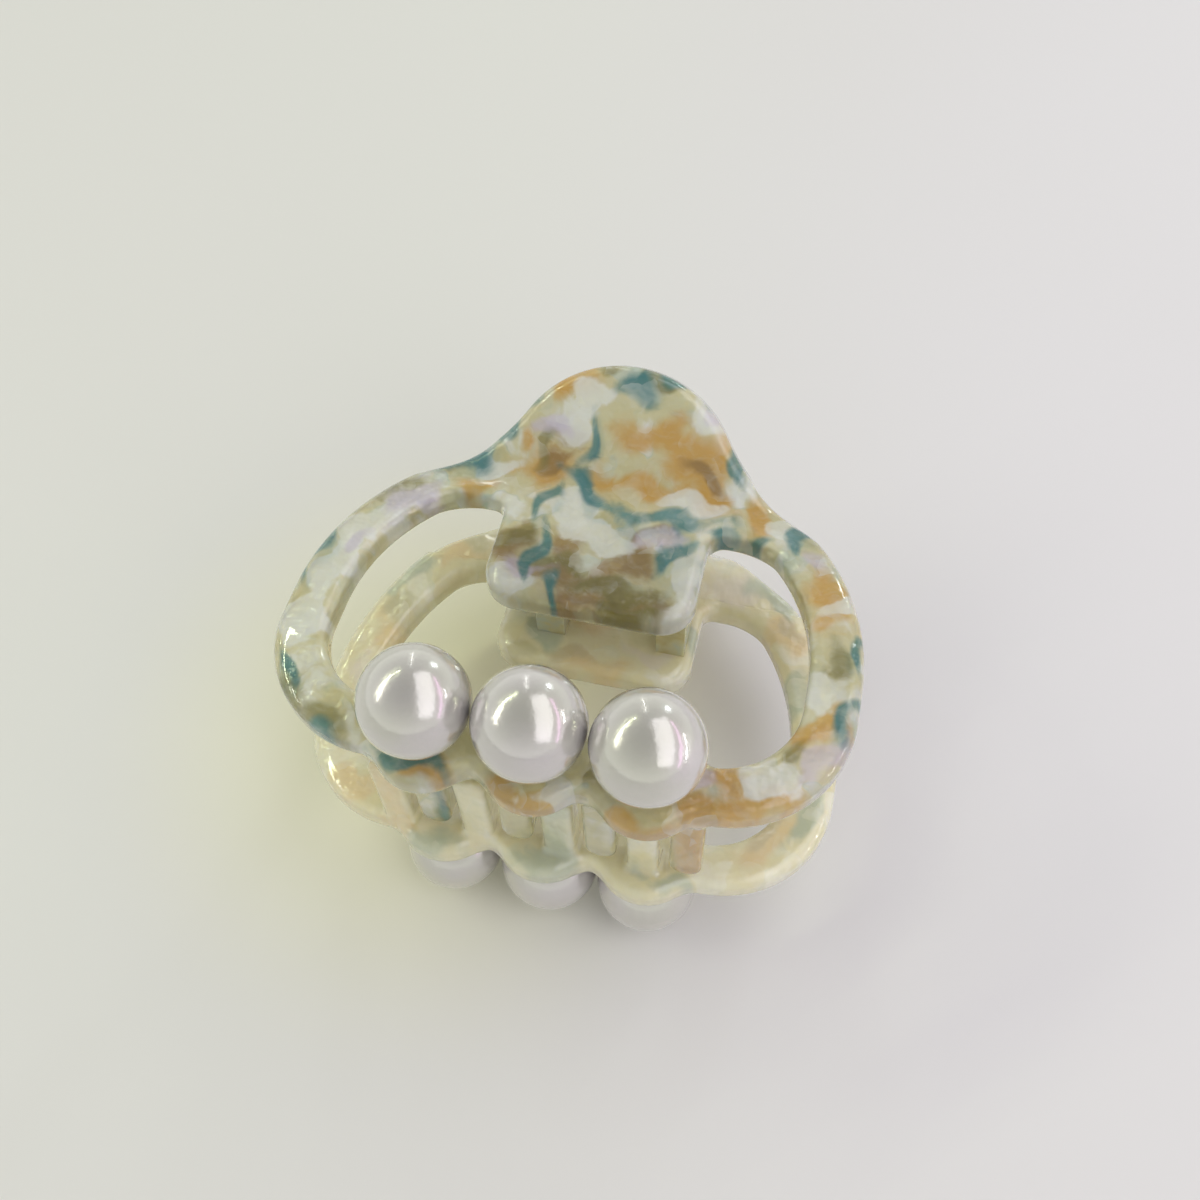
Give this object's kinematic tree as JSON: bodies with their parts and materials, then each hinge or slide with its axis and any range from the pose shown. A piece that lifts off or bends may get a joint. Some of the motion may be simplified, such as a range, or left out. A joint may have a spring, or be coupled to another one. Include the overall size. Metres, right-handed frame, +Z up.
{
  "type": "claw clip",
  "caption": "Sprung hair claw with two open, D-shaped acetate jaws, interlocking teeth, thumb tabs and round beads along each front bar.",
  "frame": {"origin": "centre of the clip's footprint, on the table that it lies on", "axes": "+X across the clip along the hinge pin, +Y towards the thumb tabs, +Z up from the table through the lower jaw and then the upper jaw"},
  "size_m": [0.0542, 0.05, 0.0391],
  "materials": {
    "acetate": "polished, translucent, marbled in cream, pearl white, amber and teal",
    "pearl": "pearlescent lacquer, glossy",
    "steel": "bright drawn wire"
  },
  "bodies": {
    "lower": {"lower_jaw": "acetate", "lower_knuckle_inner": "acetate", "lower_knuckle_outer": "acetate", "hinge_pin": "steel", "torsion_spring": "steel", "lower_pearl_left": "pearl", "lower_pearl_middle": "pearl", "lower_pearl_right": "pearl", "lower_peg_left": "steel", "lower_peg_middle": "steel", "lower_peg_right": "steel"},
    "upper": {"upper_jaw": "acetate", "upper_knuckle_inner": "acetate", "upper_knuckle_outer": "acetate", "upper_pearl_left": "pearl", "upper_pearl_middle": "pearl", "upper_pearl_right": "pearl", "upper_peg_left": "steel", "upper_peg_middle": "steel", "upper_peg_right": "steel"}
  },
  "joints": [
    {"name": "jaw_hinge", "type": "hinge", "parent": "lower", "child": "upper", "pos_m": [0, 0.00455, 0.01782], "axis": [-1, 0, 0], "range_deg": [0, 50], "stiffness_Nm_per_rad": 0.1, "springref_deg": -28.65, "deforming": ["torsion_spring"]}
  ]
}
